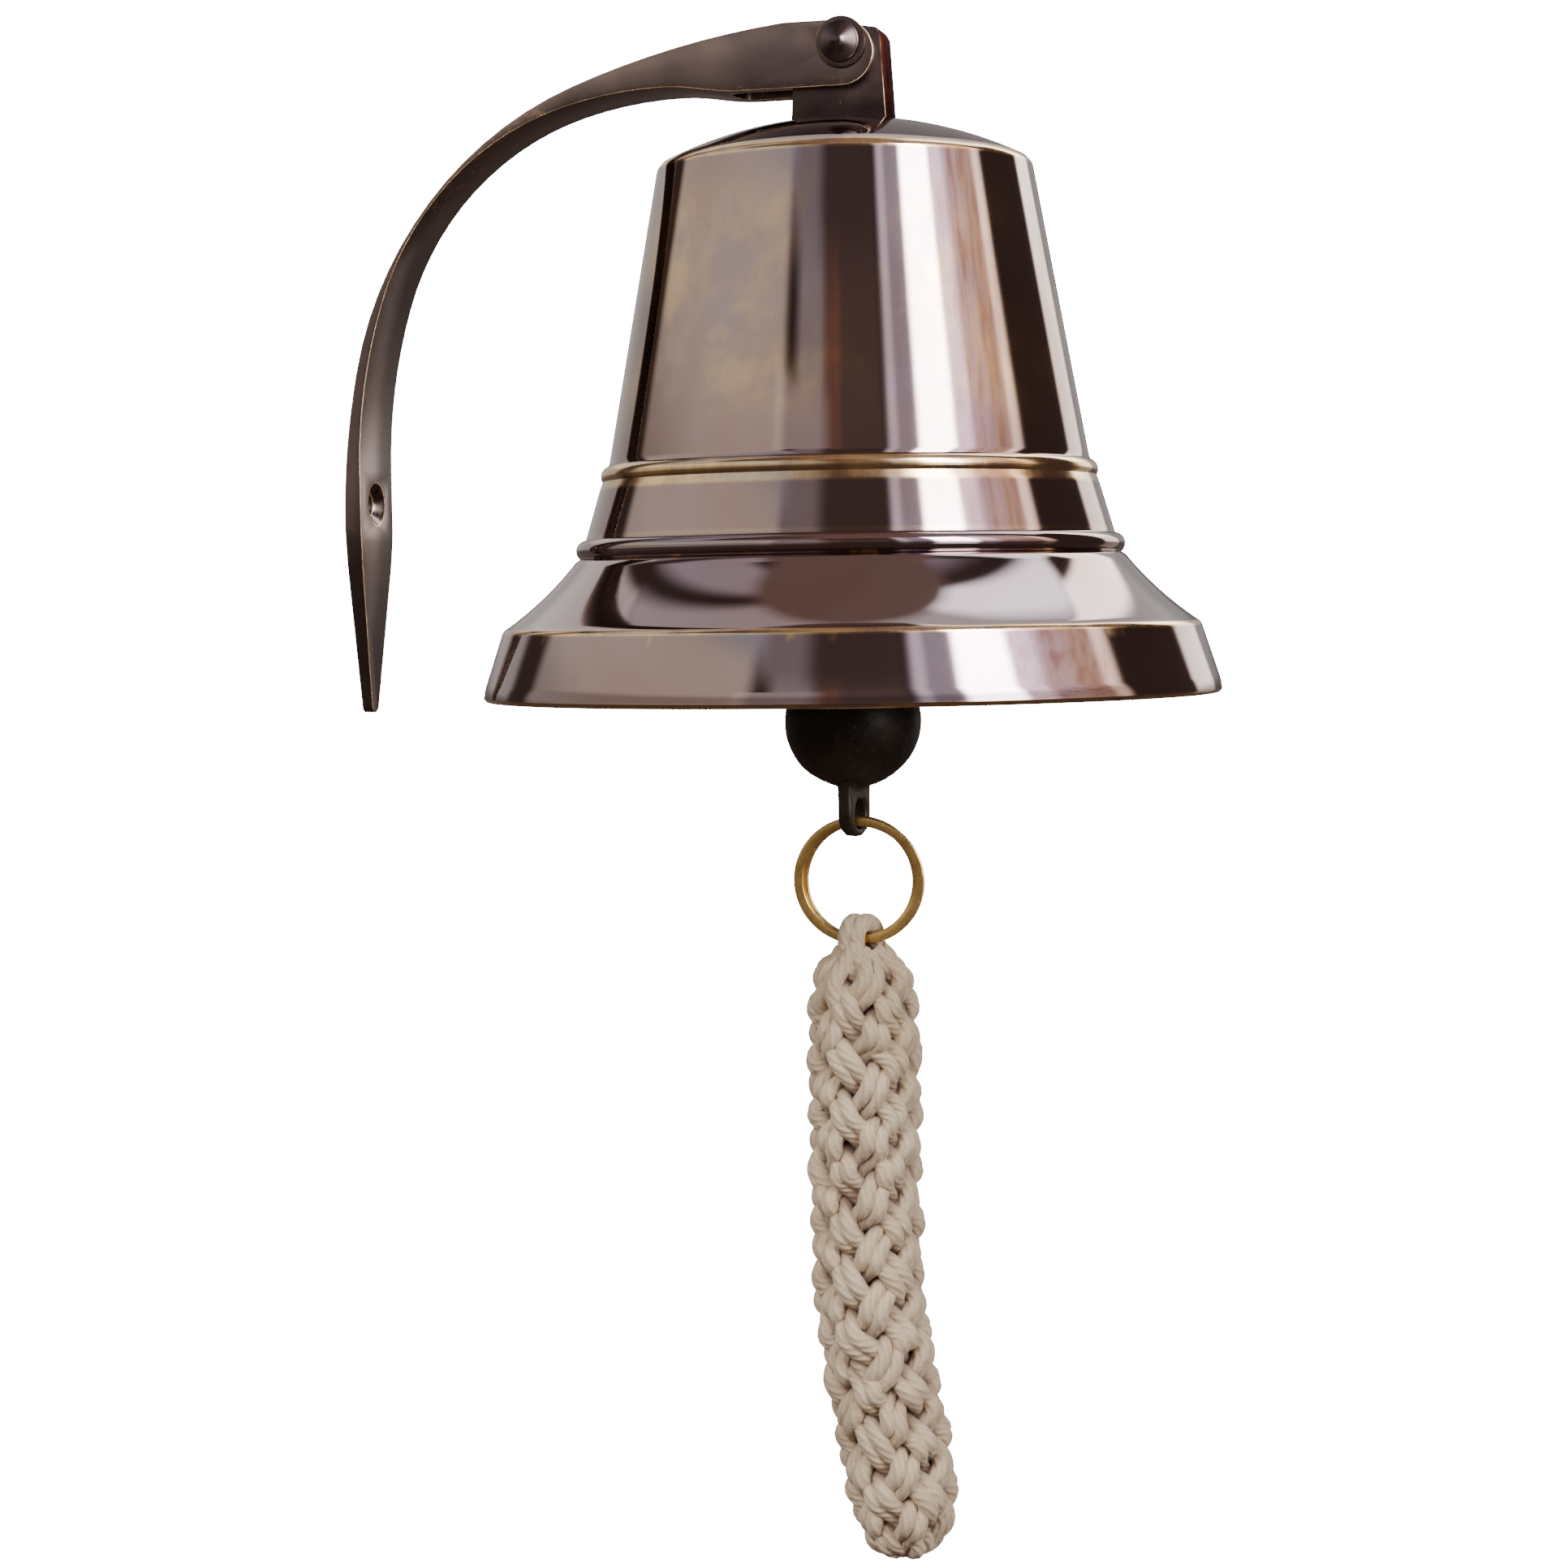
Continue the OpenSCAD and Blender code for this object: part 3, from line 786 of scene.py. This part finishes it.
# %% Colour the brass
BRIGHT_BRASS = (0.880, 0.600, 0.210)
BROWNED_BRASS = (0.620, 0.380, 0.105)
start = new_finish("yellow_brass", split_ring, eye_washer, eye_nut)
place = start.node("TexCoord", out="Object")
tarnish = place.grain(160, 3, 0.6)
scratches = place.grain(1600, 2, 0.6, stretch=(1, 0.15, 1))
colour = tarnish.between(0.35, 0.72).mixed(BRIGHT_BRASS, BROWNED_BRASS)
shine = 0.20 + tarnish * 0.12 + scratches * 0.05
bumps = start.node("Bump", {}, {"Strength": 0.10, "Distance": 0.00002, "Height": scratches})
surface(start, Base_Color=colour, Metallic=0.85, Roughness=shine, Normal=bumps)

# %% [markdown]
# ## Cast clapper
# The clapper was never polished. It is a dull olive brown with a sandy skin and a few
# brighter rubs, and it reflects only broad soft light.

# %% Colour the clapper
OLIVE_DARK = (0.040, 0.033, 0.026)
OLIVE = (0.080, 0.064, 0.050)
RUBBED = (0.22, 0.17, 0.12)
start = new_finish("cast_clapper", clapper)
place = start.node("TexCoord", out="Object")
clouds = place.grain(70, 3, 0.6)
sand = place.grain(900, 4, 0.75)
cells = start.node("TexVoronoi", {}, {"Vector": place, "Scale": 190.0}, out="Distance")
colour = clouds.between(0.34, 0.68).mixed(OLIVE_DARK, OLIVE)
colour = (sand.between(0.60, 0.74) * 0.4).mixed(colour, RUBBED)
shine = 0.42 + clouds * 0.16
bumps = start.node("Bump", {}, {"Strength": 0.5, "Distance": 0.00015,
                                "Height": sand * 0.5 + cells * 0.5})
surface(start, Base_Color=colour, Metallic=0.75, Roughness=shine, Normal=bumps)

# %% [markdown]
# ## Cotton cord
# Natural cotton is a warm off-white with a soft sheen. Each cord is twisted from yarns,
# which show as fine slanting bumps, with painted shade in the grooves between them: a wave
# across the sweep's own UV map, so it follows every bend. The gaps between lobes get
# painted shade, darker and redder, by the mark that the sweep gave each point.

# %% Colour the rope
YARNS = 6
YARN_RISE = 2.4
COTTON_STAINED = (0.640, 0.490, 0.325)
COTTON_CLEAN = (0.760, 0.610, 0.430)
# Brown for painted shade in the grooves between the yarns.
YARN_GROOVE_SHADE = (0.400, 0.285, 0.180)
# Dark brown for painted shade in the plait's gaps and on its heart.
GAP_SHADE = (0.200, 0.120, 0.080)
start = new_finish("cotton_cord", rope, rope_loop)
place = start.node("TexCoord", out="Object")
twist = start.node("UVMap", {"uv_map": "twist"})
crown = start.node("Attribute", {"attribute_name": "crown"}, out="Fac")
round_cord = start.node("SeparateXYZ", {}, {0: twist}, out="X")
along_cord = start.node("SeparateXYZ", {}, {0: twist}, out="Y")
phase = (round_cord * YARNS + along_cord / YARN_RISE) * math.tau
yarn = phase.sum("SINE", phase) * 0.5 + 0.5
fibre = place.grain(1500, 3, 0.7)
stain = place.grain(55, 3, 0.6)
colour = stain.between(0.3, 0.7).mixed(COTTON_STAINED, COTTON_CLEAN)
# Painted shade in the grooves between the yarns, broken up by fibre noise.
colour = ((1 - yarn) * 0.5 * fibre.between(0.25, 0.75)).mixed(colour, YARN_GROOVE_SHADE)
# Painted shade: points deep in the plait, in its gaps and on its heart, turn dark brown.
colour = (1 - crown.between(0.0, 0.80)).mixed(colour, GAP_SHADE)
bumps = start.node("Bump", {}, {"Strength": 0.8, "Distance": 0.00030,
                                "Height": yarn * 0.8 + fibre * 0.8})
surface(start, Base_Color=colour, Roughness=0.92, Sheen_Weight=0.25, Sheen_Roughness=0.5, Normal=bumps)

# %% [markdown]
# ## The stage
# The bell hangs over a plain pale floor that curves up all round into a pale wall, so
# that no level view of it has an edge. It shines by itself, strongly enough to stay near
# white, and is left out of reflections: in the polished bell it would drown everything.

# %% Floor and wall in one sweep
def staged(name, bm, hidden_from):
    """An object from this mesh, not seen by these kinds of ray."""
    mesh = bpy.data.meshes.new(name)
    bm.to_mesh(mesh)
    bm.free()
    made = bpy.data.objects.new(name, mesh)
    scene.collection.objects.link(made)
    for ray in hidden_from:
        setattr(made, "visible_" + ray, False)
    return made


FLOOR_Z = -1.00
FLOOR_R = 3600
CURVE_R = 1200
WALL_TOP = 5200
stage_outline = Outline()
stage_outline.to(0, FLOOR_Z / MM)
stage_outline.to(FLOOR_R, FLOOR_Z / MM)
stage_outline.arc(FLOOR_R, FLOOR_Z / MM + CURVE_R, -90, 16)
stage_outline.to(FLOOR_R + CURVE_R, WALL_TOP)
stage_bm = stage_outline.spun(64, Matrix.Translation((bell_x, 0, 0)), closed=False)
floor = staged("pale_floor", stage_bm, ("glossy", "diffuse", "transmission", "shadow"))
floor.data.shade_smooth()
start = new_finish("pale_paper", floor)
fleck = start.node("TexCoord", out="Object").grain(3, 2, 0.5)
surface(start, Base_Color=fleck.mixed((0.90, 0.90, 0.90), (0.93, 0.93, 0.93)), Roughness=0.9,
        Emission_Color=(1.0, 1.0, 1.0, 1), Emission_Strength=18.0)

# %% [markdown]
# ## The room
# A polished bell shows the room it hangs in, so its light is one tall ring of wall round
# it, painted with glow: a broad part to the left, warm below and cool above, dark gaps, a
# bright narrow window to the right with a curtain beside it, and a thin bright strip
# further round. Each part fades out at its edges. The camera sees only the ring's
# reflection in the metal. A part's height says where it shows: the waist reflects a
# narrow band of the ring, the lip band the part above it, and the flare all the rest.

# %% Lay out the room's light
facing = math.degrees(math.atan2(camera.location.y, camera.location.x - bell_x))
ROOM_R = 1.5
ROOM_LOW = -0.5
ROOM_HIGH = 6.0
CEILING = 1.5
TALLEST = 4.4
DUSK = (0.85, 0.58, 0.50)
GLOOM = Vector(DUSK) * 0.11
room_parts = []


def light(first, last, colour, strength, low=ROOM_LOW, high=CEILING, soft=2.5, soft_up=0.05,
          ripple=0.0):
    """first and last: degrees to the camera's right of the line from bell to camera."""
    room_parts.append((first, last, low, high, soft, soft_up, Vector(colour) * strength, ripple))


def inside_band(value, low, high, soft):
    """1 between low and high, 0 outside them, and smooth over the softness at each end."""
    return rise(min(value - low, high - value), -soft, soft)


light(-190, -166, (1.0, 0.98, 0.95), 0.35, soft=4)
light(-166, -131, (1.0, 0.98, 0.95), 1.15, soft=3)
light(-117, -33, (0.98, 0.96, 0.86), 1.12, high=1.0, soft=3, soft_up=0.09)
light(-117, -30, (0.66, 0.84, 1.12), 0.76, low=1.0, soft=4, soft_up=0.09)
light(-78, -40, (0.72, 0.82, 1.12), 0.32, low=1.05, soft=12)
light(-35, -11, (0.88, 0.86, 0.88), 0.85, high=0.741, soft=4, soft_up=0.012)
light(-26, -12, (0.82, 0.84, 0.88), 0.72, low=0.741, high=0.9, soft=3, soft_up=0.012)
light(-32, -14, (0.85, 0.84, 0.92), 0.48, low=0.9, soft=5)
light(-11, -4, (0.75, 0.33, 0.22), 0.30, high=0.9, soft=2)
light(-11, 17, (0.62, 0.52, 0.48), 0.09)
light(-5, 17, (0.62, 0.50, 0.44), 0.13, high=0.9)
light(19, 35, (0.88, 0.86, 1.05), 0.95, soft=2)
light(20, 24, (1.0, 1.0, 1.1), 1.0, soft=1.5)
light(35, 53, (1.0, 1.0, 1.05), 42.0, soft=2)
light(53, 63, (1.0, 0.90, 1.05), 5.5, soft=3, ripple=0.6)
light(63, 75, (1.0, 0.80, 0.76), 2.3, soft=3, ripple=1.0)
light(75, 90, (1.0, 0.74, 0.58), 1.9, soft=3, ripple=0.7)
light(86, 92, (1.0, 0.90, 0.78), 3.5, high=1.1, soft=2)
light(130, 148, (1.0, 0.94, 0.88), 7.0, soft=2)
light(148, 164, (0.96, 0.98, 1.0), 0.9)
light(164, 190, (0.96, 0.98, 1.0), 0.25)
light(-190, -131, (0.95, 0.92, 0.98), 0.9, low=CEILING, high=TALLEST, soft=6, soft_up=0.1)
light(-117, -84, (0.90, 0.88, 1.0), 0.8, low=CEILING, high=TALLEST, soft=6, soft_up=0.1)
light(-66, -30, (0.80, 0.60, 0.56), 0.16, low=CEILING, high=TALLEST, soft=12, soft_up=0.1)
light(-28, 46, (0.80, 0.60, 0.52), 0.42, low=CEILING, high=TALLEST, soft=12, soft_up=0.1)
light(50, 88, (0.88, 0.78, 1.0), 0.62, low=CEILING, high=TALLEST, soft=14, soft_up=0.1)
light(112, 140, (0.92, 0.97, 1.05), 5.0, low=CEILING, high=TALLEST, soft=6, soft_up=0.1)
light(140, 190, (0.96, 0.98, 1.0), 1.2, low=CEILING, high=TALLEST, soft=5, soft_up=0.1)
light(-190, 190, (0.80, 0.60, 0.52), 0.36, low=TALLEST, high=9, soft_up=0.6)
print(len(room_parts), "parts of light round the room")

# %% [markdown]
# The ring is an upright row of edges spun all the way round, one step to a degree, with
# one more edge that closes it at the top. Its rows are closest where a sharp edge of
# light needs them. Each point gets the sum of the parts that reach it, dimmed towards
# the floor, and how strongly the curtain's folds show there.

# %% Build the ring of light
room_bm = bmesh.new()
glow_layer = room_bm.verts.layers.float_color.new("glow")
fold_layer = room_bm.verts.layers.float.new("folds")
room_z = ([ROOM_LOW + 0.05 * i for i in range(24)] + [0.70 + 0.01 * i for i in range(10)]
          + [0.8 + 0.05 * i for i in range(20)] + [2.0, 2.5, 3.0, 4.0, 5.0, ROOM_HIGH])
upright = [room_bm.verts.new((ROOM_R, 0, z)) for z in room_z]
upright.append(room_bm.verts.new((0.01, 0, ROOM_HIGH)))
for a, b in zip(upright, upright[1:]):
    room_bm.edges.new((a, b))
bmesh.ops.spin(room_bm, geom=room_bm.verts[:] + room_bm.edges[:], cent=(0, 0, 0), axis=(0, 0, 1),
               angle=math.tau, steps=360, use_merge=True, use_duplicate=False)
for vertex in room_bm.verts:
    degrees = math.degrees(math.atan2(vertex.co.y, vertex.co.x)) - facing
    degrees = (degrees + 180) % 360 - 180
    glow = GLOOM.copy()
    folds = 0.0
    z = vertex.co.z
    from_floor = 0.06 + 0.44 * rise(z, -0.05, 0.12) + 0.5 * rise(z, 0.35, 0.60)
    for first, last, low, high, soft, soft_up, colour, ripple in room_parts:
        weight = inside_band(degrees, first, last, soft) * inside_band(z, low, high, soft_up)
        glow += colour * weight * from_floor
        folds += ripple * weight
    vertex[glow_layer] = (*glow, 1)
    vertex[fold_layer] = min(1.0, folds)
bmesh.ops.transform(room_bm, matrix=Matrix.Translation((bell_x, 0, 0)), verts=room_bm.verts)
room = staged("room_light", room_bm, ("camera", "diffuse", "shadow"))
start = new_finish("room_light", room)
glow = start.node("Attribute", {"attribute_name": "glow"}, out="Color")
folds = start.node("Attribute", {"attribute_name": "folds"}, out="Fac")
cloth = start.node("TexCoord", out="Object").grain(8.0, 2, 0.5, stretch=(1, 1, 2.6), warp=0.8)
shaded = start.node("VectorMath", {"operation": "MULTIPLY"}, {0: glow, 1: (0.50, 0.36, 0.32)})
lined = start.node("VectorMath", {"operation": "MULTIPLY"}, {0: glow, 1: (0.70, 0.66, 1.0)})
glow = (folds * cloth.between(0.48, 0.60) * 0.85).mixed(glow, shaded)
glow = (folds * cloth.hump(0.36, 0.40, 0.42, 0.46)).mixed(glow, lined)
light_out = start.node("Emission", {}, {"Color": glow, "Strength": 1.0})
start.node("OutputMaterial", {}, {"Surface": light_out}, out=None)
print("ring of light,", len(room.data.polygons), "faces")

# %% [markdown]
# The ring stands for the room. Three soft lamps do the rest: one large one high at the
# front left for the rope and the clapper, a weaker one at the right, and one overhead.
# None of them shows as a reflection, because the ring alone does that.

# %% Soft lamps and the dim world
def soft_lamp(name, spot, aim, size, watts, colour):
    data = bpy.data.lights.new(name, "AREA")
    data.shape = "SQUARE"
    data.size = size
    data.energy = watts
    data.color = colour
    lamp = bpy.data.objects.new(name, data)
    lamp.location = spot
    lamp.rotation_mode = "QUATERNION"
    lamp.rotation_quaternion = (Vector(aim) - Vector(spot)).to_track_quat("-Z", "Y")
    lamp.visible_camera = False
    lamp.visible_glossy = False
    scene.collection.objects.link(lamp)


soft_lamp("key_lamp", (-0.5, -1.3, 0.9), (0.1, 0, -0.05), 0.9, 31, (1.0, 0.98, 0.96))
soft_lamp("side_lamp", (1.5, -0.7, 0.5), (0.1, 0, -0.05), 0.7, 22, (1.0, 0.97, 0.93))
soft_lamp("top_lamp", (0.2, 0.1, 1.6), (0.1, 0, 0), 0.8, 10, (0.97, 0.98, 1.0))
world = bpy.data.worlds.new("dim_room")
world.use_nodes = True
background = world.node_tree.nodes["Background"].inputs
background["Color"].default_value = (*DUSK, 1)
background["Strength"].default_value = 0.12
scene.world = world
print("three lamps and a dim world")
